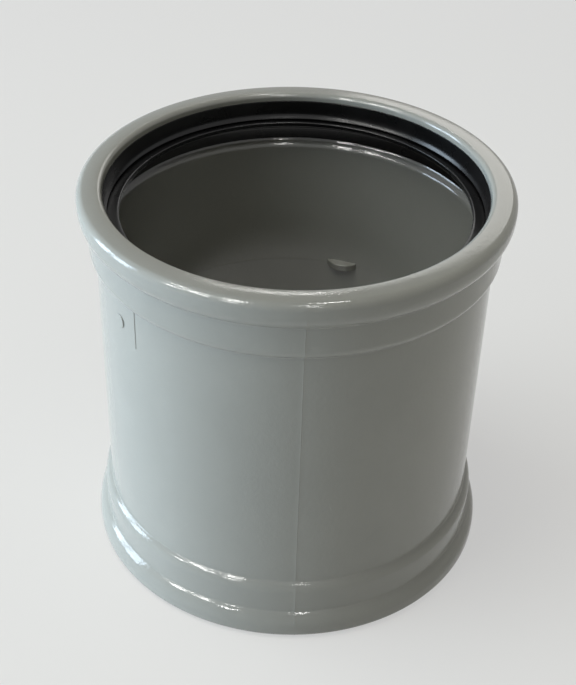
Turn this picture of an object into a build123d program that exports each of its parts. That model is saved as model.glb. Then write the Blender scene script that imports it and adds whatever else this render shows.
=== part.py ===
"""A double-socket coupling for 160 mm PVC drain pipe, standing on one end.

One grey PVC moulding takes a pipe in each end. Four small tabs half way down stop the
pipes. Near each end the wall steps out twice to hold a rubber seal ring, so the outside
shows a plain band and a rounded bead at each end, with the same wall all along.

The axis is Z, and the origin is the centre of the lower end. Lengths are in millimetres.
"""

from build123d import *
import os

os.makedirs("parts", exist_ok=True)

# The pipe that both sockets take
pipe_diameter = 160.0
pipe_clearance = 0.25

# The moulding: overall length and plain wall
coupling_length = 179.0
wall = 4.2

# How far the seat of the seal lies outside the bore, and its groove outside the seat
seat_recess = 2.95
groove_recess = 3.9

# Depths below the end face where each outside step begins and ends
bead_face_end = 5.6
bead_shoulder_end = 13.4
band_face_end = 24.1
band_shoulder_end = 29.1

# The edge that is turned in over the seal, and how much wider it opens at the end face
mouth_lip = 3.4
mouth_flare = 0.3

# Roundings of the wall: end face, bead, creases of the outside, steps of the inside
mouth_rounding = 2.0
bead_rounding = 3.0
crease_rounding = 1.0
step_rounding = 2.4

# The tabs that stop the pipes
stop_count = 4
first_stop_angle = 69.0
stop_height = 3.5
stop_protrusion = 4.3
stop_plan_radius = 8.9
stop_rounding = 0.6
core_line_height = 0.12

# The rubber seal ring, with its lip laid back against the wall as a pipe leaves it
seal_seat_clearance = 0.15
seal_pipe_clearance = 0.1
seal_end_clearance = 0.5
seal_guide_height = 7.8
seal_guide_taper = 0.25
seal_crease_width = 1.8
seal_crease_depth = 1.3
seal_lip_reach = 5.6
seal_lip_back = 0.8
seal_groove_count = 2
seal_groove_pitch = 1.3
seal_groove_depth = 0.35
seal_tail_length = 3.6
seal_tail_thickness = 1.1

# Radii that follow from these
pipe_radius = pipe_diameter / 2
bore_radius = pipe_radius + pipe_clearance
seat_radius = bore_radius + seat_recess
groove_radius = seat_radius + groove_recess
body_radius = bore_radius + wall
band_radius = seat_radius + wall
bead_radius = groove_radius + wall

# Depths of the seal ring, each measured on from the one before
seal_top = mouth_lip + seal_seat_clearance
seal_crease = seal_top + seal_guide_height
seal_lip_root = seal_crease + seal_crease_width
seal_lip_end = seal_lip_root + seal_lip_reach
seal_tail_root = seal_lip_end + seal_lip_back
seal_end = seal_tail_root + seal_tail_length
seat_end = seal_end + seal_end_clearance


def at(radius, depth):
    """A point of the upper end's section, by its depth below the end face."""
    return (radius, 0, coupling_length / 2 - depth)


def rounded(face, corners, rounding):
    """The face with a fillet at each of these corners and at their mirror images."""
    for x, y, z in corners:
        for place in (Vector(x, y, z), Vector(x, y, -z)):
            corner = min(face.vertices(), key=lambda v: (Vector(*v) - place).length)
            if (Vector(*corner) - place).length < 0.01:
                face = face.fillet_2d(rounding, [corner])
    return face


def wall_section():
    """The section of the moulding, drawn for the upper half and mirrored."""
    middle = coupling_length / 2
    stop_top = at(bore_radius, middle - stop_height / 2)
    shoulder = at(bore_radius, seat_end + seat_recess)
    seat_foot = at(seat_radius, seat_end)
    seat_top = at(seat_radius, bead_shoulder_end)
    groove_foot = at(groove_radius, bead_face_end + wall / 2)
    groove_top = at(groove_radius, mouth_lip)
    lip_foot = at(bore_radius, mouth_lip)
    mouth = at(bore_radius + mouth_flare, 0)
    bead_top = at(bead_radius, 0)
    bead_foot = at(bead_radius, bead_face_end)
    band_top = at(band_radius, bead_shoulder_end)
    band_foot = at(band_radius, band_face_end)
    body_top = at(body_radius, band_shoulder_end)
    body_middle = at(body_radius, middle)
    inside = Polyline(
        stop_top, shoulder, seat_foot, seat_top, groove_foot, groove_top, lip_foot, mouth,
        bead_top, bead_foot,
    )
    bead_shoulder = TangentArc(bead_foot, band_top, tangent=(0, 0, -1))
    band = Line(band_top, band_foot)
    band_shoulder = TangentArc(band_foot, body_top, tangent=(0, 0, -1))
    body = Line(body_top, body_middle)
    upper = inside + bead_shoulder + band + band_shoulder + body
    crown = at(bore_radius - core_line_height, middle)
    core_line = ThreePointArc(stop_top, crown, (bore_radius, 0, -stop_top[2]))
    outline = upper.edges() + mirror(upper, about=Plane.XY).edges() + core_line.edges()
    section = make_face(outline).face()
    section = rounded(section, [shoulder, seat_foot], step_rounding)
    section = rounded(section, [mouth], mouth_rounding)
    section = rounded(section, [bead_top], bead_rounding)
    return rounded(section, [band_top, body_top], crease_rounding)


def stop_tab(angle):
    """A half-moon tab whose round back is sunk in the wall, with rounded rims."""
    centre = bore_radius - stop_protrusion + stop_plan_radius
    disc = Pos(centre, 0, 0) * Cylinder(stop_plan_radius, stop_height)
    disc = fillet(disc.edges().filter_by(GeomType.CIRCLE), stop_rounding)
    return Rot(0, 0, angle) * (disc & Cylinder(bore_radius + wall / 2, stop_height))


def coupling_body():
    """The turned wall with its stop tabs, as one solid about the middle."""
    body = revolve(wall_section(), axis=Axis.Z)
    for number in range(stop_count):
        body += stop_tab(first_stop_angle + number * 360 / stop_count)
    return body


def seal_ring():
    """The upper seal ring: a head in the groove, a guide band, the lip and a tail."""
    inner = pipe_radius + seal_pipe_clearance
    tail_inner = seat_radius - seal_seat_clearance - seal_tail_thickness
    head_top = at(groove_radius - seal_seat_clearance, seal_top)
    head_foot = at(groove_radius - seal_seat_clearance, bead_face_end + wall / 2)
    skirt_top = at(seat_radius - seal_seat_clearance, bead_shoulder_end)
    skirt_foot = at(seat_radius - seal_seat_clearance, seal_end)
    guide = [at(inner + seal_guide_taper, seal_top), at(inner, seal_crease)]
    crease = at(inner + seal_crease_depth, (seal_crease + seal_lip_root) / 2)
    lip = [at(inner, seal_lip_root)]
    for number in range(seal_groove_count, 0, -1):
        groove = seal_lip_end - number * seal_groove_pitch
        lip.append(at(inner, groove - seal_groove_pitch / 4))
        lip.append(at(inner + seal_groove_depth, groove))
        lip.append(at(inner, groove + seal_groove_pitch / 4))
    lip.append(at(inner, seal_lip_end))
    tail = [at(tail_inner, seal_tail_root), at(tail_inner, seal_end)]
    outline = [head_top, *guide, crease, *lip, *tail, skirt_foot, skirt_top, head_foot]
    section = make_face(Polyline(*outline, close=True).edges())
    return revolve(section, axis=Axis.Z)


stand_up = Pos(0, 0, coupling_length / 2)
upper_seal = seal_ring()
export_step(stand_up * coupling_body(), "parts/coupling_body.step")
export_step(stand_up * upper_seal, "parts/upper_seal_ring.step")
export_step(stand_up * Rot(180, 0, 0) * upper_seal, "parts/lower_seal_ring.step")
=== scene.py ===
import math
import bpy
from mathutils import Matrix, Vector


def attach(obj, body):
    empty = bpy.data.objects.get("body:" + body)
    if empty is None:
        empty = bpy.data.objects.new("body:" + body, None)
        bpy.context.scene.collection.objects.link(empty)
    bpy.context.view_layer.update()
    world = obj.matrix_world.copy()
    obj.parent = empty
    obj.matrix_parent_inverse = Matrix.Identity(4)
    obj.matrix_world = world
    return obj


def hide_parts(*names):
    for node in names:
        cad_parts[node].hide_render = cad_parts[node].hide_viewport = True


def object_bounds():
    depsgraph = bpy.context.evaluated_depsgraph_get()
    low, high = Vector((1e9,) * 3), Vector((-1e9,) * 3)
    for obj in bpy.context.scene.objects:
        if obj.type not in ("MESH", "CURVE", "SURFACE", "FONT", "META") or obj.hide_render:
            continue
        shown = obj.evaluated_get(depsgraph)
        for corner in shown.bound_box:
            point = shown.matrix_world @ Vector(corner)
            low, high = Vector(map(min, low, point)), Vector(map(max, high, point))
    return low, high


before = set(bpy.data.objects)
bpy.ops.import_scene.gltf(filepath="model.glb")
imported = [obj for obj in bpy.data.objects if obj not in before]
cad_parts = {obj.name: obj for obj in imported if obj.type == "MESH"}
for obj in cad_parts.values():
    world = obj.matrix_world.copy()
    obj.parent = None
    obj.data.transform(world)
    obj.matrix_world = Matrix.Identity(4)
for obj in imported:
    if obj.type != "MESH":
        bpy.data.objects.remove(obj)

from types import SimpleNamespace

import bmesh
import bpy
from bpy.props import FloatProperty, FloatVectorProperty, IntProperty, PointerProperty
from mathutils import Matrix, Vector

bl_info = {
    "name": "Pipe coupling",
    "version": (1, 0, 0),
    "blender": (4, 5, 0),
    "location": "3D View > Sidebar > Coupling",
    "description": "Dresses a double-socket PVC pipe coupling and its two seal rings",
    "category": "Object",
}

cad_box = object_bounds()
cad_length = cad_box[1][2] - cad_box[0][2]
cad_bead_radius = (cad_box[1][0] - cad_box[0][0]) / 2
mm = 0.001
micron = 0.000001


# Settings that a user would change

def length(name, description, default):
    return FloatProperty(name=name, description=description, default=default,
                         subtype="DISTANCE", unit="LENGTH", precision=5)


def colour(name, description, default):
    return FloatVectorProperty(name=name, description=description, default=default,
                               subtype="COLOR", size=3, min=0, max=1)


def radiance(name, description, default):
    return FloatProperty(name=name, description=description, default=default, min=0)


class MouldingSizes(bpy.types.PropertyGroup):
    """Sizes of the grey moulding"""
    end_to_end: length("Length", "From one end face to the other", cad_length)
    bead_radius: length("Bead radius", "Outside radius of the bead", cad_bead_radius)
    wall: length("Wall", "Thickness of the plain wall", 4.2 * mm)
    groove_recess: length("Groove recess", "Groove radius less seat radius", 3.9 * mm)
    seat_recess: length("Seat recess", "Seat radius less bore radius", 2.95 * mm)
    bead_face_end: length("Bead face end", "Depth where the bead turns in", 5.6 * mm)
    bead_shoulder_end: length("Bead shoulder end", "Depth where the band begins", 13.4 * mm)
    band_face_end: length("Band face end", "Depth where the band turns in", 24.1 * mm)
    band_shoulder_end: length("Band shoulder end", "Depth where the body begins", 29.1 * mm)
    seat_end: length("Seat end", "Depth where the seal seat ends", 23.65 * mm)
    mouth_lip: length("Mouth lip", "Thickness of the edge over the seal", 3.4 * mm)
    mouth_flare: length("Mouth flare", "Widening of the mouth at its face", 0.3 * mm)
    mouth_rounding: length("Mouth rounding", "Rounding of the mouth's edge", 2.0 * mm)
    bead_rounding: length("Bead rounding", "Rounding of the bead's outer edge", 3.0 * mm)
    face_drop: length("Face drop", "How far the end face falls away outward", 0.35 * mm)
    stop_radius: length("Stop radius", "Plan radius of each stop tab", 8.9 * mm)
    stop_height: length("Stop height", "Height of each stop tab", 3.5 * mm)
    stop_reach: length("Stop reach", "How far a stop tab stands out", 4.3 * mm)
    stop_angle: FloatProperty(name="Stop angle", description="Angle of the first stop tab",
                              default=math.radians(69), subtype="ANGLE", unit="ROTATION")
    stop_count: IntProperty(name="Stops", description="Number of stop tabs", default=4,
                            min=1, max=12)
    seam_height: length("Seam height", "Height of the mould seam", 0.1 * mm)
    seam_width: length("Seam width", "Half width of the mould seam", 0.3 * mm)
    around: IntProperty(name="Steps around", description="Faces around each turned piece",
                        default=240, min=48, max=720)


class SealSizes(bpy.types.PropertyGroup):
    """Sizes of the two rubber seal rings"""
    clearance: length("Clearance", "Room between the seal and the moulding", 0.15 * mm)
    lip_radius: length("Lip radius", "Radius of the free lip's edge", 73.9 * mm)
    guide_radius: length("Guide radius", "Radius of the guide band", 80.35 * mm)
    end: length("End depth", "Depth where the tail ends", 23.15 * mm)


class Finishes(bpy.types.PropertyGroup):
    """Colours of the finishes"""
    pvc: colour("PVC", "Grey of the moulding", (0.206, 0.207, 0.190))
    rubber: colour("Rubber", "Black of the seals", (0.0015, 0.0015, 0.0017))
    floor: colour("Floor", "Pale floor", (0.78, 0.77, 0.75))


class StageSettings(bpy.types.PropertyGroup):
    """Levels of the light"""
    day: radiance("Daylight", "Soft daylight from the left", 45.0)
    panes: radiance("Panes", "The two tall panes mirrored in the gloss", 9.5)
    overhead: radiance("Overhead", "Soft light from above", 3.7)
    right: radiance("Right", "Soft light from the right", 4.0)
    front: radiance("Front", "Soft light from above the camera", 2.3)
    sky: radiance("Sky", "Soft light from high on the left", 3.3)
    glints: radiance("Glints", "The small panels mirrored as glints", 30.0)
    back: radiance("Back", "The pale panel mirrored in the right of the rim", 1.7)
    ambient: radiance("Ambient", "Light from all around", 0.05)


# Modelling helpers

def deselect():
    bpy.ops.object.select_all(action="DESELECT")


def activate(obj):
    deselect()
    bpy.context.view_layer.objects.active = obj
    obj.select_set(True)


def name_active(name):
    obj = bpy.context.object
    obj.name = obj.data.name = name
    return obj


def apply_place(obj):
    """Moves the place, turn and scale of an object into its mesh."""
    activate(obj)
    bpy.ops.object.transform_apply(location=True, rotation=True, scale=True)


def apply_modifiers(obj):
    activate(obj)
    for modifier in list(obj.modifiers):
        bpy.ops.object.modifier_apply(modifier=modifier.name)


def select_where(obj, mode, test):
    """In edit mode, selects the vertices or the edges that a test accepts."""
    bpy.ops.mesh.select_all(action="DESELECT")
    bpy.ops.mesh.select_mode(type=mode)
    mesh = bmesh.from_edit_mesh(obj.data)
    group = mesh.verts if mode == "VERT" else mesh.edges
    chosen = [item for item in group if test(item)]
    if not chosen:
        raise RuntimeError(f"nothing to select on {obj.name}")
    for item in chosen:
        item.select = True
    mesh.select_flush_mode()
    bmesh.update_edit_mesh(obj.data)


def around_axis(point):
    return math.hypot(point.x, point.y)


def rise(edge):
    return abs(edge.verts[0].co.z - edge.verts[1].co.z)


def bevel(width, segments):
    bpy.ops.mesh.bevel(offset=width, segments=segments, profile=0.5, affect="EDGES")


def turned(name, section, steps):
    """A closed section of (radius, height) points, drawn by extruding and spun about Z."""
    deselect()
    bpy.ops.mesh.primitive_plane_add(size=mm)
    obj = name_active(name)
    bpy.ops.object.mode_set(mode="EDIT")
    bpy.ops.mesh.select_mode(type="VERT")
    bpy.ops.mesh.select_all(action="SELECT")
    bpy.ops.mesh.merge(type="CENTER")
    points = [Vector((radius, 0, height)) for radius, height in section]
    bpy.ops.transform.translate(value=points[0])
    for here, there in zip(points, points[1:]):
        bpy.ops.mesh.extrude_vertices_move(TRANSFORM_OT_translate={"value": there - here})
    ends = (points[0], points[-1])
    select_where(obj, "VERT", lambda vert: any((vert.co - end).length < 2 * micron
                                               for end in ends))
    bpy.ops.mesh.edge_face_add()
    bpy.ops.mesh.select_all(action="SELECT")
    bpy.ops.mesh.spin(steps=steps, angle=2 * math.pi, center=(0, 0, 0), axis=(0, 0, 1),
                      use_auto_merge=True)
    bpy.ops.mesh.select_all(action="SELECT")
    bpy.ops.mesh.remove_doubles(threshold=micron)
    bpy.ops.mesh.normals_make_consistent(inside=False)
    bpy.ops.object.mode_set(mode="OBJECT")
    return obj


def round_rings(obj, rings):
    """Bevels whole rings of edges, each given as radius, height, width and segments."""
    activate(obj)
    bpy.ops.object.mode_set(mode="EDIT")
    for radius, height, width, segments in rings:
        def on_ring(edge):
            return all(abs(around_axis(vert.co) - radius) < 10 * micron and
                       abs(vert.co.z - height) < 10 * micron for vert in edge.verts)
        select_where(obj, "EDGE", on_ring)
        bevel(width, segments)
    bpy.ops.object.mode_set(mode="OBJECT")


def smooth(obj, sharp_from):
    """Shades a piece smooth, but keeps edges sharp from this many degrees on."""
    activate(obj)
    bpy.ops.object.shade_smooth_by_angle(angle=math.radians(sharp_from))
    bpy.ops.object.modifier_add(type="WEIGHTED_NORMAL")
    obj.modifiers[-1].keep_sharp = True
    apply_modifiers(obj)


def tangent_arc(start, end, steps):
    """Points after start on the arc that leaves it straight down and turns in to end."""
    across = start[0] - end[0]
    down = start[1] - end[1]
    radius = (across ** 2 + down ** 2) / (2 * across)
    sweep = math.asin(down / radius)
    if across > radius:
        sweep = math.pi - sweep
    return [(start[0] - radius * (1 - math.cos(sweep * step / steps)),
             start[1] - radius * math.sin(sweep * step / steps))
            for step in range(1, steps + 1)]


def finish_piece(obj, material, slot_name, *nodes):
    obj.data.materials.clear()
    obj.data.materials.append(material)
    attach(obj, "root")
    if nodes:
        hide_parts(*nodes)


# Material helpers

node_step = (60, -40)


class Graph:
    """Short calls for adding and joining shader nodes."""

    def __init__(self, tree):
        self.tree = tree
        self.column = 0

    def add(self, kind, **values):
        node = self.tree.nodes.new(kind)
        self.column += 1
        node.location = (self.column * node_step[0], self.column * node_step[1])
        for key, value in values.items():
            setattr(node, key, value)
        return node

    def join(self, source, target):
        self.tree.links.new(source, target)

    def put(self, value, socket):
        """Joins a socket, or sets a constant."""
        if isinstance(value, bpy.types.NodeSocket):
            self.join(value, socket)
        else:
            socket.default_value = value

    def maths(self, operation, *values):
        node = self.add("ShaderNodeMath", operation=operation)
        for value, socket in zip(values, node.inputs):
            self.put(value, socket)
        return node.outputs[0]

    def noise(self, vector, scale=1.0, detail=2.0, roughness=0.5):
        node = self.add("ShaderNodeTexNoise")
        self.put(vector, node.inputs["Vector"])
        self.put(scale, node.inputs["Scale"])
        node.inputs["Detail"].default_value = detail
        node.inputs["Roughness"].default_value = roughness
        return node.outputs["Fac"]

    def ramp(self, value, low, high, start=0.0, end=1.0):
        """Goes softly from start to end while the value goes from low to high."""
        node = self.add("ShaderNodeMapRange", interpolation_type="SMOOTHSTEP")
        for key, item in (("Value", value), ("From Min", low), ("From Max", high),
                          ("To Min", start), ("To Max", end)):
            self.put(item, node.inputs[key])
        return node.outputs["Result"]

    def scaled(self, vector, x, y, z):
        node = self.add("ShaderNodeVectorMath", operation="MULTIPLY")
        self.put(vector, node.inputs[0])
        node.inputs[1].default_value = (x, y, z)
        return node.outputs[0]

    def mix(self, factor, first, second):
        node = self.add("ShaderNodeMix", data_type="RGBA")
        self.put(factor, node.inputs["Factor"])
        self.put(first, node.inputs["A"])
        self.put(second, node.inputs["B"])
        return node.outputs["Result"]

    def seen_directly(self):
        """1 for the camera and for mirror images, and 0 for light that falls on things."""
        path = self.add("ShaderNodeLightPath")
        return self.maths("MAXIMUM", path.outputs["Is Camera Ray"],
                          path.outputs["Is Glossy Ray"])

    def mix_surface(self, share, first, second, output_name):
        """Mixes two shaders into the surface of a material or of the world."""
        node = self.add("ShaderNodeMixShader")
        for source, target in zip((share, first.outputs[0], second.outputs[0]), node.inputs):
            self.join(source, target)
        self.join(node.outputs[0], self.tree.nodes[output_name].inputs["Surface"])


FLOAT = "NodeSocketFloat"
VECTOR = "NodeSocketVector"


def new_group(name, inputs, outputs):
    """A shader node group with these sockets: (name, type, default)."""
    tree = bpy.data.node_groups.new(name, "ShaderNodeTree")
    for label, kind, default in inputs:
        socket = tree.interface.new_socket(label, in_out="INPUT", socket_type=kind)
        if default is not None:
            socket.default_value = default
    for label, kind in outputs:
        tree.interface.new_socket(label, in_out="OUTPUT", socket_type=kind)
    graph = Graph(tree)
    return graph, graph.add("NodeGroupInput"), graph.add("NodeGroupOutput")


def wrap_group():
    """Coordinates along a turned surface: the way around, the radius and the height."""
    found = bpy.data.node_groups.get("Turned coordinates")
    if found:
        return found
    graph, start, end = new_group(
        "Turned coordinates",
        [("Position", VECTOR, None), ("Girth radius", FLOAT, 0.085)],
        [("Around", VECTOR)])
    split = graph.add("ShaderNodeSeparateXYZ")
    graph.join(start.outputs["Position"], split.inputs[0])
    x, y, z = split.outputs
    angle = graph.maths("ARCTAN2", y, x)
    radius = graph.maths("SQRT", graph.maths("ADD", graph.maths("MULTIPLY", x, x),
                                             graph.maths("MULTIPLY", y, y)))
    girth = graph.maths("MULTIPLY", angle, start.outputs["Girth radius"])
    join = graph.add("ShaderNodeCombineXYZ")
    for source, target in zip((girth, radius, z), join.inputs):
        graph.join(source, target)
    graph.join(join.outputs[0], end.inputs["Around"])
    return graph.tree


def grain_group():
    """Orange peel and fine grain of a moulded skin, as a height and a mottled mask."""
    found = bpy.data.node_groups.get("Moulded grain")
    if found:
        return found
    graph, start, end = new_group(
        "Moulded grain",
        [("Position", VECTOR, None), ("Peel scale", FLOAT, 260.0),
         ("Grain scale", FLOAT, 1800.0), ("Grain amount", FLOAT, 0.35)],
        [("Height", FLOAT), ("Mottle", FLOAT)])
    place = start.outputs["Position"]
    peel = graph.noise(place, start.outputs["Peel scale"], roughness=0.45)
    grain = graph.noise(place, start.outputs["Grain scale"], roughness=0.6)
    swirl = graph.noise(place, scale=28.0, detail=4.0, roughness=0.6)
    fine = graph.maths("MULTIPLY", grain, start.outputs["Grain amount"])
    graph.join(graph.maths("ADD", peel, fine), end.inputs["Height"])
    graph.join(swirl, end.inputs["Mottle"])
    return graph.tree


def wear_group():
    """Hairline scuffs and small specks, as two masks."""
    found = bpy.data.node_groups.get("Handling wear")
    if found:
        return found
    graph, start, end = new_group(
        "Handling wear",
        [("Position", VECTOR, None), ("Around", VECTOR, None),
         ("Speck density", FLOAT, 0.5)],
        [("Scuff", FLOAT), ("Speck", FLOAT)])
    place = start.outputs["Position"]
    # The scuffs are thin streaks in three directions, and lie in patches
    patches = graph.ramp(graph.noise(place, scale=22.0, detail=3.0, roughness=0.6), 0.52, 0.72)
    lines = None
    for turn in (0.25, -0.6, 1.35):
        tilt = graph.add("ShaderNodeVectorRotate", rotation_type="Y_AXIS")
        graph.join(start.outputs["Around"], tilt.inputs["Vector"])
        tilt.inputs["Angle"].default_value = turn
        streak = graph.noise(graph.scaled(tilt.outputs[0], 1500.0, 40.0, 45.0), detail=1.0)
        line = graph.ramp(streak, 0.735, 0.79)
        lines = line if lines is None else graph.maths("MAXIMUM", lines, line)
    graph.join(graph.maths("MULTIPLY", lines, patches), end.inputs["Scuff"])
    # A share of the cells holds a speck, each of its own size
    cells = graph.add("ShaderNodeTexVoronoi", feature="F1")
    graph.join(place, cells.inputs["Vector"])
    cells.inputs["Scale"].default_value = 55.0
    chance = graph.add("ShaderNodeSeparateColor")
    graph.join(cells.outputs["Color"], chance.inputs[0])
    keep = graph.maths("LESS_THAN", chance.outputs[0], start.outputs["Speck density"])
    size = graph.ramp(chance.outputs[1], 0.0, 1.0, 0.012, 0.034)
    dot = graph.maths("LESS_THAN", cells.outputs["Distance"], size)
    graph.join(graph.maths("MULTIPLY", dot, keep), end.inputs["Speck"])
    return graph.tree


def place_group(graph, tree, **values):
    """Adds a node group with values for its inputs. Peel_scale stands for Peel scale."""
    node = graph.add("ShaderNodeGroup")
    node.node_tree = tree
    for key, value in values.items():
        graph.put(value, node.inputs[key.replace("_", " ")])
    return node


def new_material(name):
    material = bpy.data.materials.new(name)
    material.use_nodes = True
    graph = Graph(material.node_tree)
    shader = material.node_tree.nodes["Principled BSDF"]
    place = graph.add("ShaderNodeTexCoord").outputs["Object"]
    return material, graph, shader, place


def add_bump(graph, shader, height, strength, distance):
    bump = graph.add("ShaderNodeBump")
    bump.inputs["Strength"].default_value = strength
    bump.inputs["Distance"].default_value = distance
    graph.join(height, bump.inputs["Height"])
    graph.join(bump.outputs[0], shader.inputs["Normal"])


def opaque(tint, factor=1.0):
    """A colour times this factor, with full alpha."""
    return (*[part * factor for part in tint], 1)


def pvc_material(finish):
    found = bpy.data.materials.get("Grey moulded PVC")
    if found:
        return found
    material, graph, shader, place = new_material("Grey moulded PVC")
    around = place_group(graph, wrap_group(), Position=place).outputs["Around"]
    grain = place_group(graph, grain_group(), Position=place, Peel_scale=600.0)
    wear = place_group(graph, wear_group(), Position=place, Around=around, Speck_density=0.14)
    mottle = grain.outputs["Mottle"]
    scuff = wear.outputs["Scuff"]
    tone = graph.mix(mottle, opaque(finish.pvc, 0.91), opaque(finish.pvc, 1.09))
    # Faint upright bands of even colour break up the mottle
    bands = graph.noise(graph.scaled(around, 60.0, 10.0, 2.5))
    tone = graph.mix(graph.ramp(bands, 0.35, 0.65, 0.0, 0.6), tone, opaque(finish.pvc))
    tone = graph.mix(graph.maths("MULTIPLY", scuff, 0.2), tone, opaque(finish.pvc, 1.5))
    dirt = opaque((0.045, 0.042, 0.036))
    tone = graph.mix(graph.maths("MULTIPLY", wear.outputs["Speck"], 0.75), tone, dirt)
    graph.join(tone, shader.inputs["Base Color"])
    rough = graph.ramp(mottle, 0.2, 0.8, 0.07, 0.12)
    rough = graph.maths("ADD", rough, graph.maths("MULTIPLY", scuff, 0.2))
    graph.join(rough, shader.inputs["Roughness"])
    # Fine turning marks of the mould streak the highlights
    rings = graph.noise(graph.scaled(around, 8.0, 900.0, 900.0), roughness=0.6)
    height = graph.maths("ADD", grain.outputs["Height"], graph.maths("MULTIPLY", rings, 0.12))
    add_bump(graph, shader, height, strength=0.8, distance=0.07 * mm)
    shader.inputs["IOR"].default_value = 1.54
    return material


def rubber_material(finish):
    found = bpy.data.materials.get("Black rubber")
    if found:
        return found
    material, graph, shader, place = new_material("Black rubber")
    wrap = place_group(graph, wrap_group(), Position=place, Girth_radius=0.08)
    around = wrap.outputs["Around"]
    grain = place_group(graph, grain_group(), Position=place, Peel_scale=420.0,
                        Grain_scale=2600.0, Grain_amount=0.6)
    wear = place_group(graph, wear_group(), Position=place, Around=around, Speck_density=0.12)
    mottle = grain.outputs["Mottle"]
    # Patches of paler bloom, and pale specks of dust
    bloom = (*[part * 2.0 + 0.001 for part in finish.rubber], 1)
    dust = opaque((0.12, 0.12, 0.115))
    tone = graph.mix(graph.ramp(mottle, 0.4, 0.75, 0.0, 0.8), opaque(finish.rubber), bloom)
    tone = graph.mix(graph.maths("MULTIPLY", wear.outputs["Speck"], 0.6), tone, dust)
    graph.join(tone, shader.inputs["Base Color"])
    graph.join(graph.ramp(mottle, 0.25, 0.75, 0.24, 0.33), shader.inputs["Roughness"])
    # Fine rings left by the mould's turning marks
    rings = graph.noise(graph.scaled(around, 6.0, 2200.0, 2200.0), roughness=0.6)
    height = graph.maths("ADD", graph.maths("MULTIPLY", rings, 0.8), grain.outputs["Height"])
    add_bump(graph, shader, height, strength=0.3, distance=0.05 * mm)
    shader.inputs["IOR"].default_value = 1.5
    shader.inputs["Specular IOR Level"].default_value = 0.38
    return material


backdrop = (0.70, 0.70, 0.70, 1)


def floor_material(finish):
    """A pale floor that looks even to the camera and keeps the coupling's shadow."""
    material, graph, shader, place = new_material("Pale floor")
    cloud = graph.noise(place, scale=3.0, detail=3.0)
    tone = graph.mix(graph.ramp(cloud, 0.3, 0.7, 0.0, 0.5), opaque(finish.floor),
                     opaque(finish.floor, 0.985))
    graph.join(tone, shader.inputs["Base Color"])
    shader.inputs["Roughness"].default_value = 0.75
    shader.inputs["Specular IOR Level"].default_value = 0.25
    seen = graph.add("ShaderNodeEmission")
    seen.inputs["Color"].default_value = backdrop
    # Further out the floor turns into the even backdrop
    reach = graph.add("ShaderNodeVectorMath", operation="LENGTH")
    graph.join(place, reach.inputs[0])
    share = graph.maths("MULTIPLY", graph.seen_directly(),
                        graph.ramp(reach.outputs["Value"], 0.3, 1.4, 0.7, 1.0))
    graph.mix_surface(share, shader, seen, "Material Output")
    return material


# The moulding

# Faces across the end face and along each shoulder, and the angle in degrees from which
# an edge stays sharp
crown_steps = 5
shoulder_steps = 10
moulding_sharp_from = 32

# The fine ridge half way down the bore: how far it stands out, and half its width at
# the crest and at the foot
core_line_height = 0.12 * mm
core_line_crest = 0.15 * mm
core_line_foot = 0.4 * mm

# Bevels of the creases outside and of the steps inside
band_crease = 0.5 * mm
body_crease = 0.6 * mm
step_bevel = 1.25 * mm

# A stop tab's rounding, its faces around, and the share of the wall that it reaches into
stop_rounding = 0.6 * mm
stop_steps = 96
stop_root = 0.4


def wall_places(sizes):
    """Radii that follow from the moulding's sizes, with the end face's run between its
    roundings and the depth of the groove's foot."""
    groove = sizes.bead_radius - sizes.wall
    seat = groove - sizes.groove_recess
    bore = seat - sizes.seat_recess
    mouth = bore + sizes.mouth_flare
    crest = mouth + sizes.mouth_rounding
    return SimpleNamespace(
        band=sizes.bead_radius - sizes.groove_recess, body=bore + sizes.wall,
        groove=groove, seat=seat, bore=bore, mouth=mouth, crest=crest,
        run=sizes.bead_radius - sizes.bead_rounding - crest,
        groove_foot=sizes.bead_face_end + sizes.wall / 2)


def moulding_section(sizes):
    """The wall's section as (radius, height) points, down the outside and up the inside."""
    top = sizes.end_to_end
    middle = top / 2
    bead = sizes.bead_radius
    at = wall_places(sizes)
    crown = [(at.crest + at.run * step / crown_steps,
              -sizes.face_drop * (step / crown_steps) ** 2)
             for step in range(1, crown_steps + 1)]
    slope = 2 * sizes.face_drop / at.run
    outside = [*crown[:-1], (bead, crown[-1][1] - slope * sizes.bead_rounding)]
    outside.append((bead, -sizes.bead_face_end))
    outside += tangent_arc(outside[-1], (at.band, -sizes.bead_shoulder_end), shoulder_steps)
    outside.append((at.band, -sizes.band_face_end))
    outside += tangent_arc(outside[-1], (at.body, -sizes.band_shoulder_end), shoulder_steps)
    inside = [
        (at.bore - core_line_height, -(middle - core_line_crest)),
        (at.bore, -(middle - core_line_foot)),
        (at.bore, -(sizes.seat_end + sizes.seat_recess)), (at.seat, -sizes.seat_end),
        (at.seat, -sizes.bead_shoulder_end), (at.groove, -at.groove_foot),
        (at.groove, -sizes.mouth_lip), (at.bore, -sizes.mouth_lip), (at.mouth, 0),
    ]
    upper_outside = [(radius, top + height) for radius, height in outside]
    lower_outside = [(radius, -height) for radius, height in reversed(outside)]
    lower_inside = [(radius, -height) for radius, height in reversed(inside)]
    upper_inside = [(radius, top + height) for radius, height in inside]
    return upper_outside + lower_outside + lower_inside + upper_inside


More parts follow.
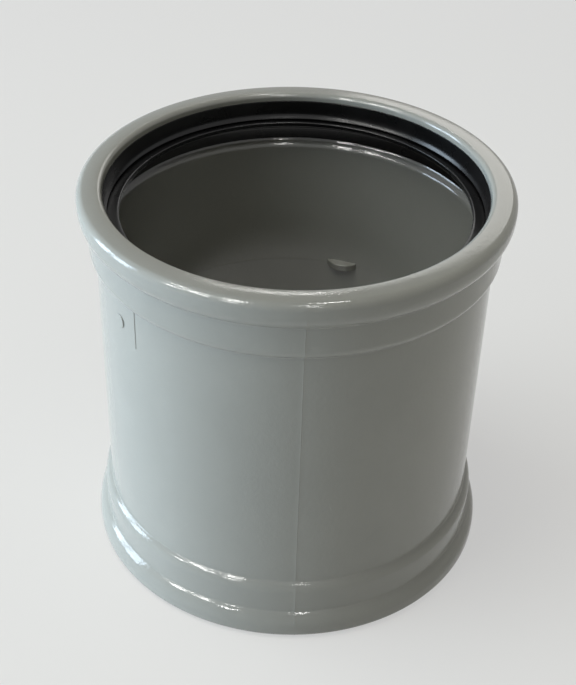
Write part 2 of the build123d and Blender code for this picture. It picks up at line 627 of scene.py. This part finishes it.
class COUPLING_OT_moulding(bpy.types.Operator):
    """Turns the grey moulding, rounds its edges, raises the seam and adds the stop tabs"""
    bl_idname = "coupling.moulding"
    bl_label = "Moulding"

    def execute(self, context):
        sizes = context.scene.moulding_sizes
        obj = turned("coupling_moulding", moulding_section(sizes), sizes.around)
        self.round_edges(obj, sizes)
        self.raise_seams(obj, sizes)
        self.add_stops(obj, sizes)
        smooth(obj, moulding_sharp_from)
        finish_piece(obj, pvc_material(context.scene.coupling_finishes), "grey_pvc",
                     "coupling_body")
        return {"FINISHED"}

    def round_edges(self, obj, sizes):
        at = wall_places(sizes)
        corner = sizes.face_drop * (1 + 2 * sizes.bead_rounding / at.run)
        rings = []
        for radius, depth, width, segments in (
            (sizes.bead_radius, corner, sizes.bead_rounding, 10),
            (at.mouth, 0, sizes.mouth_rounding, 8),
            (at.band, sizes.bead_shoulder_end, band_crease, 5),
            (at.body, sizes.band_shoulder_end, body_crease, 5),
            (at.seat, sizes.seat_end, step_bevel, 7),
            (at.bore, sizes.seat_end + sizes.seat_recess, step_bevel, 7),
        ):
            rings.append((radius, sizes.end_to_end - depth, width, segments))
            rings.append((radius, depth, width, segments))
        round_rings(obj, rings)

    def raise_seams(self, obj, sizes):
        """A fine ridge down the front and the back, where the mould halves met."""
        outside = wall_places(sizes).body - 10 * micron
        activate(obj)
        bpy.ops.object.mode_set(mode="EDIT")
        for side in (-1, 1):
            def on_seam(vert):
                return abs(vert.co.x) < micron and side * vert.co.y > outside
            select_where(obj, "EDGE", lambda edge: all(on_seam(vert) for vert in edge.verts) and
                         rise(edge) > micron)
            bevel(sizes.seam_width, 2)
            select_where(obj, "VERT", lambda vert: on_seam(vert) and
                         side * vert.co.y < sizes.bead_radius - sizes.seam_height)
            bpy.ops.transform.translate(value=(0, side * sizes.seam_height, 0))
        bpy.ops.object.mode_set(mode="OBJECT")

    def add_stops(self, obj, sizes):
        """Makes one tab, copies it around the bore and joins the copies to the wall."""
        bore = wall_places(sizes).bore
        centre = bore - sizes.stop_reach + sizes.stop_radius
        deselect()
        bpy.ops.mesh.primitive_cylinder_add(vertices=stop_steps, radius=sizes.stop_radius,
                                            depth=sizes.stop_height,
                                            location=(centre, 0, sizes.end_to_end / 2))
        stop = name_active("stop_tab")
        apply_place(stop)
        bpy.ops.object.mode_set(mode="EDIT")
        select_where(stop, "EDGE", lambda edge: rise(edge) < 0.1 * micron)
        bevel(stop_rounding, 5)
        bpy.ops.mesh.select_all(action="SELECT")
        bpy.ops.mesh.bisect(plane_co=(bore + sizes.wall * stop_root, 0, 0), plane_no=(1, 0, 0),
                            use_fill=True, clear_outer=True)
        bpy.ops.mesh.select_all(action="SELECT")
        bpy.ops.mesh.normals_make_consistent(inside=False)
        bpy.ops.object.mode_set(mode="OBJECT")
        tabs = []
        for number in range(sizes.stop_count):
            tab = stop.copy()
            tab.data = stop.data.copy()
            bpy.context.scene.collection.objects.link(tab)
            tab.rotation_euler.z = sizes.stop_angle + number * 2 * math.pi / sizes.stop_count
            apply_place(tab)
            tabs.append(tab)
        bpy.data.objects.remove(stop)
        for tab in tabs:
            activate(obj)
            bpy.ops.object.modifier_add(type="BOOLEAN")
            join = obj.modifiers[-1]
            join.operation = "UNION"
            join.solver = "EXACT"
            join.object = tab
            apply_modifiers(obj)
            bpy.data.objects.remove(tab)


# The mould marks

# Each mark's place is an angle in degrees from the right and a height above the lower end
mark_sink = 0.1 * mm
mark_sharp_from = 60

disc_mark_radius = 3.0 * mm
disc_mark_thickness = 1.2 * mm
disc_mark_rounding = 0.45 * mm
disc_mark_angle = -148.8
disc_mark_height = 139 * mm

line_mark_radius = 0.35 * mm
line_mark_length = 18 * mm
line_mark_angle = -141.3
line_mark_height = 140.5 * mm


class COUPLING_OT_mould_marks(bpy.types.Operator):
    """Adds the small raised disc and the short raised line on the left of the wall"""
    bl_idname = "coupling.mould_marks"
    bl_label = "Mould marks"

    def execute(self, context):
        body = wall_places(context.scene.moulding_sizes).body
        material = pvc_material(context.scene.coupling_finishes)
        self.add_disc(body, material)
        self.add_line(body, material)
        return {"FINISHED"}

    def add_disc(self, body, material):
        deselect()
        bpy.ops.mesh.primitive_cylinder_add(
            vertices=64, radius=disc_mark_radius, depth=disc_mark_thickness,
            rotation=(0, math.pi / 2, 0), location=(body - mark_sink, 0, disc_mark_height))
        disc = name_active("mould_disc_mark")
        apply_place(disc)
        bpy.ops.object.mode_set(mode="EDIT")
        select_where(disc, "EDGE", lambda edge: all(vert.co.x > body for vert in edge.verts))
        bevel(disc_mark_rounding, 5)
        bpy.ops.object.mode_set(mode="OBJECT")
        self.finish_mark(disc, disc_mark_angle, material)

    def add_line(self, body, material):
        deselect()
        bpy.ops.mesh.primitive_cylinder_add(
            vertices=16, radius=line_mark_radius, depth=line_mark_length,
            location=(body - mark_sink, 0, line_mark_height))
        line = name_active("mould_line_mark")
        apply_place(line)
        self.finish_mark(line, line_mark_angle, material)

    def finish_mark(self, obj, angle, material):
        obj.rotation_euler.z = math.radians(angle)
        apply_place(obj)
        smooth(obj, mark_sharp_from)
        finish_piece(obj, material, "grey_pvc")


# The seal rings

seal_sharp_from = 50
seal_tail_thickness = 1.1 * mm
seal_tail_edge = 0.3 * mm
seal_head_edge = 0.35 * mm


def seal_section(sizes, seal):
    """The upper seal with its lip at rest, as (radius, depth) points."""
    at = wall_places(sizes)
    head = at.groove - seal.clearance
    seat = head - sizes.groove_recess
    start = sizes.mouth_lip + seal.clearance
    guide = seal.guide_radius
    lip = seal.lip_radius
    tail = seat - seal_tail_thickness
    guide_band = [
        (head, start), (guide + seal_head_edge, start), (guide, start + seal_head_edge),
        (guide - 0.3 * mm, 9.2 * mm), (guide - 0.5 * mm, 10.1 * mm),
        (guide - 0.85 * mm, 10.9 * mm), (guide - 1.3 * mm, 11.5 * mm),
    ]
    crease = [
        (guide - 1.35 * mm, 11.8 * mm), (guide - 0.6 * mm, 12.15 * mm),
        (guide - 0.2 * mm, 12.5 * mm), (guide - 1.1 * mm, 12.6 * mm),
    ]
    lip_top = [
        (lip + 3.5 * mm, 12.15 * mm), (lip + 1.2 * mm, 11.4 * mm),
        (lip + 0.5 * mm, 11.15 * mm), (lip + 0.12 * mm, 11.3 * mm),
    ]
    grooved_edge = [
        (lip, 11.6 * mm), (lip, 11.95 * mm), (lip + 0.3 * mm, 12.1 * mm),
        (lip, 12.25 * mm), (lip, 12.7 * mm), (lip + 0.3 * mm, 12.85 * mm), (lip, 13.0 * mm),
    ]
    lip_back = [
        (lip + 0.1 * mm, 13.4 * mm), (lip + 0.6 * mm, 13.65 * mm),
        (lip + 3.0 * mm, 14.5 * mm), (lip + 5.4 * mm, 15.6 * mm),
        (lip + 6.9 * mm, 16.8 * mm),
    ]
    tail_and_back = [
        (tail, 18.4 * mm), (tail, seal.end - seal_tail_edge), (tail + seal_tail_edge, seal.end),
        (seat, seal.end), (seat, sizes.bead_shoulder_end), (head, at.groove_foot),
    ]
    return guide_band + crease + lip_top + grooved_edge + lip_back + tail_and_back


class COUPLING_OT_seals(bpy.types.Operator):
    """Turns the two black seal rings with their lips at rest"""
    bl_idname = "coupling.seals"
    bl_label = "Seal rings"

    def execute(self, context):
        sizes = context.scene.moulding_sizes
        lower = seal_section(sizes, context.scene.seal_sizes)
        upper = [(radius, sizes.end_to_end - depth) for radius, depth in lower]
        material = rubber_material(context.scene.coupling_finishes)
        for name, node, section in (("upper_seal", "upper_seal_ring", upper),
                                    ("lower_seal", "lower_seal_ring", lower)):
            obj = turned(name, section, sizes.around)
            smooth(obj, seal_sharp_from)
            finish_piece(obj, material, "black_rubber", node)
        return {"FINISHED"}


# The stage

floor_size = 12.0
ambient_tint = (1.0, 0.99, 0.97, 1)
day_tint = (0.69, 0.85, 1.0)
warm_tint = (1.0, 0.985, 0.87)
pale_tint = (1.0, 0.99, 0.96)
clear_tint = (0.86, 0.94, 1.0)

# Where the lamps are aimed. A lamp's place is an azimuth and an elevation in degrees and
# a distance in metres from there. The azimuth runs from the front towards the right
lamp_aim = Vector((0, 0, 0.09))

# Lamps that light the coupling and aren't mirrored: name, place, size, setting and tint
soft_lamps = (
    ("daylight", (-97, 3.5, 3.2), (3.6, 0.5), "day", day_tint),
    ("overhead", (-90, 71, 2.4), (1.6, 1.6), "overhead", warm_tint),
    ("right_fill", (100, 4, 3.0), (3.0, 0.5), "right", warm_tint),
    ("front", (12, 56, 2.6), (1.2, 0.8), "front", warm_tint),
    ("sky", (-72, 40, 2.8), (2.0, 1.1), "sky", clear_tint),
)

# Lamps that only show as mirror images in the gloss
mirrored_lamps = (
    ("back_panel", (161, 28, 3.0), (1.2, 1.0), "back", pale_tint),
    ("pane_left", (-93, 14, 2.6), (0.5, 1.2), "panes", day_tint),
    ("pane_right", (-107, 14, 2.6), (0.5, 1.2), "panes", day_tint),
)

# Small panels that only show as glints: azimuth, elevation, width and height
glint_distance = 2.6
glint_panels = (
    (8, 60, 0.22, 0.22), (-41, 56, 0.26, 0.22), (-59, 52, 0.26, 0.22), (7, 43, 0.16, 0.2),
    (-36, 47, 0.26, 0.22), (-60, 42, 0.28, 0.24), (-82, 55, 0.24, 0.2),
    (-50, 35, 0.26, 0.22), (-66, 31, 0.28, 0.22), (-34, 29, 0.26, 0.2), (90, 81, 0.3, 0.2),
    (178, 40, 0.34, 0.03),
)

# The camera, fitted to the photograph's outlines, in metres and radians
camera_turn = math.radians(-3.5)
camera_distance, camera_height = 0.4878846, 0.4509376
camera_pitch, camera_roll, camera_yaw = 0.6635, 0.0005, -0.0502

# The picture's size, and the camera's focal length and axis in it, in pixels
picture_width, picture_height = 576, 685
focal_length = 1331.43
axis_x, axis_y = 236.85, 387.06

# The width of the camera's sensor, in millimetres
sensor_width = 36


class COUPLING_OT_stage(bpy.types.Operator):
    """Sets the floor, the lights, the world and the camera"""
    bl_idname = "coupling.stage"
    bl_label = "Stage"

    def execute(self, context):
        scene = context.scene
        settings = scene.stage_settings
        scene.view_settings.view_transform = "Standard"
        self.add_floor(scene.coupling_finishes)
        self.add_world(scene, settings)
        self.add_lights(settings)
        self.add_camera(scene)
        return {"FINISHED"}

    def add_floor(self, finish):
        deselect()
        bpy.ops.mesh.primitive_plane_add(size=floor_size)
        floor = name_active("pale_floor")
        floor.data.materials.append(floor_material(finish))

    def add_world(self, scene, settings):
        world = bpy.data.worlds.new("Soft studio")
        world.use_nodes = True
        scene.world = world
        graph = Graph(world.node_tree)
        shader = world.node_tree.nodes["Background"]
        shader.inputs["Color"].default_value = ambient_tint
        shader.inputs["Strength"].default_value = settings.ambient
        seen = graph.add("ShaderNodeBackground")
        seen.inputs["Color"].default_value = backdrop
        graph.mix_surface(graph.seen_directly(), shader, seen, "World Output")

    def add_panel(self, name, place, size, level, tint, mirrored=True, lighting=True):
        """A rectangular lamp of this radiance that faces the coupling."""
        azimuth, elevation, distance = place
        width, height = size
        turn = math.radians(azimuth)
        lift = math.radians(elevation)
        way = Vector((math.sin(turn) * math.cos(lift), -math.cos(turn) * math.cos(lift),
                      math.sin(lift)))
        bpy.ops.object.light_add(type="AREA", location=lamp_aim + distance * way)
        lamp = bpy.context.object
        lamp.name = lamp.data.name = name
        lamp.data.shape = "RECTANGLE"
        lamp.data.size = width
        lamp.data.size_y = height
        lamp.data.energy = level * 4 * width * height
        lamp.data.color = tint
        lamp.rotation_euler = (-way).to_track_quat("-Z", "Y").to_euler()
        lamp.visible_glossy = mirrored
        lamp.visible_diffuse = lighting

    def add_lights(self, settings):
        for name, place, size, setting, tint in soft_lamps:
            self.add_panel(name, place, size, getattr(settings, setting), tint,
                           mirrored=False)
        for name, place, size, setting, tint in mirrored_lamps:
            self.add_panel(name, place, size, getattr(settings, setting), tint,
                           lighting=False)
        for number, (azimuth, elevation, width, height) in enumerate(glint_panels, 1):
            self.add_panel(f"glint_{number}", (azimuth, elevation, glint_distance),
                           (width, height), settings.glints, pale_tint, lighting=False)

    def add_camera(self, scene):
        bpy.ops.object.camera_add()
        camera = bpy.context.object
        camera.name = "camera"
        scene.camera = camera
        forward = Vector((math.sin(camera_yaw) * math.cos(camera_pitch),
                          math.cos(camera_yaw) * math.cos(camera_pitch),
                          -math.sin(camera_pitch)))
        level = Vector((math.cos(camera_yaw), -math.sin(camera_yaw), 0))
        upright = level.cross(forward)
        right = math.cos(camera_roll) * level + math.sin(camera_roll) * upright
        up = -math.sin(camera_roll) * level + math.cos(camera_roll) * upright
        axes = Matrix((right, up, -forward)).transposed().to_4x4()
        place = Matrix.Translation((0, -camera_distance, camera_height))
        camera.matrix_world = Matrix.Rotation(camera_turn, 4, "Z") @ place @ axes
        camera.data.sensor_fit = "AUTO"
        camera.data.sensor_width = sensor_width
        camera.data.lens = focal_length * sensor_width / picture_height
        camera.data.shift_x = (picture_width / 2 - axis_x) / picture_height
        camera.data.shift_y = (axis_y - picture_height / 2) / picture_height
        camera.data.clip_start = 0.01


class COUPLING_PT_panel(bpy.types.Panel):
    """Sizes, finishes and pieces of the coupling"""
    bl_label = "Pipe coupling"
    bl_idname = "COUPLING_PT_panel"
    bl_space_type = "VIEW_3D"
    bl_region_type = "UI"
    bl_category = "Coupling"

    def draw(self, context):
        layout = self.layout
        for label, group in (("Moulding", context.scene.moulding_sizes),
                             ("Seals", context.scene.seal_sizes),
                             ("Finishes", context.scene.coupling_finishes),
                             ("Stage", context.scene.stage_settings)):
            box = layout.box()
            box.label(text=label)
            for key in group.__annotations__:
                box.prop(group, key)
        for operator in OPERATORS:
            layout.operator(operator.bl_idname)


GROUPS = (
    ("moulding_sizes", MouldingSizes), ("seal_sizes", SealSizes),
    ("coupling_finishes", Finishes), ("stage_settings", StageSettings),
)
OPERATORS = (COUPLING_OT_moulding, COUPLING_OT_mould_marks, COUPLING_OT_seals,
             COUPLING_OT_stage)


def register():
    for name, group in GROUPS:
        bpy.utils.register_class(group)
        setattr(bpy.types.Scene, name, PointerProperty(type=group))
    for item in (*OPERATORS, COUPLING_PT_panel):
        bpy.utils.register_class(item)


def unregister():
    for item in reversed((*OPERATORS, COUPLING_PT_panel)):
        bpy.utils.unregister_class(item)
    for name, group in reversed(GROUPS):
        delattr(bpy.types.Scene, name)
        bpy.utils.unregister_class(group)


def main():
    register()
    bpy.ops.coupling.moulding()
    bpy.ops.coupling.mould_marks()
    bpy.ops.coupling.seals()
    bpy.ops.coupling.stage()


if __name__ == "__main__":
    main()
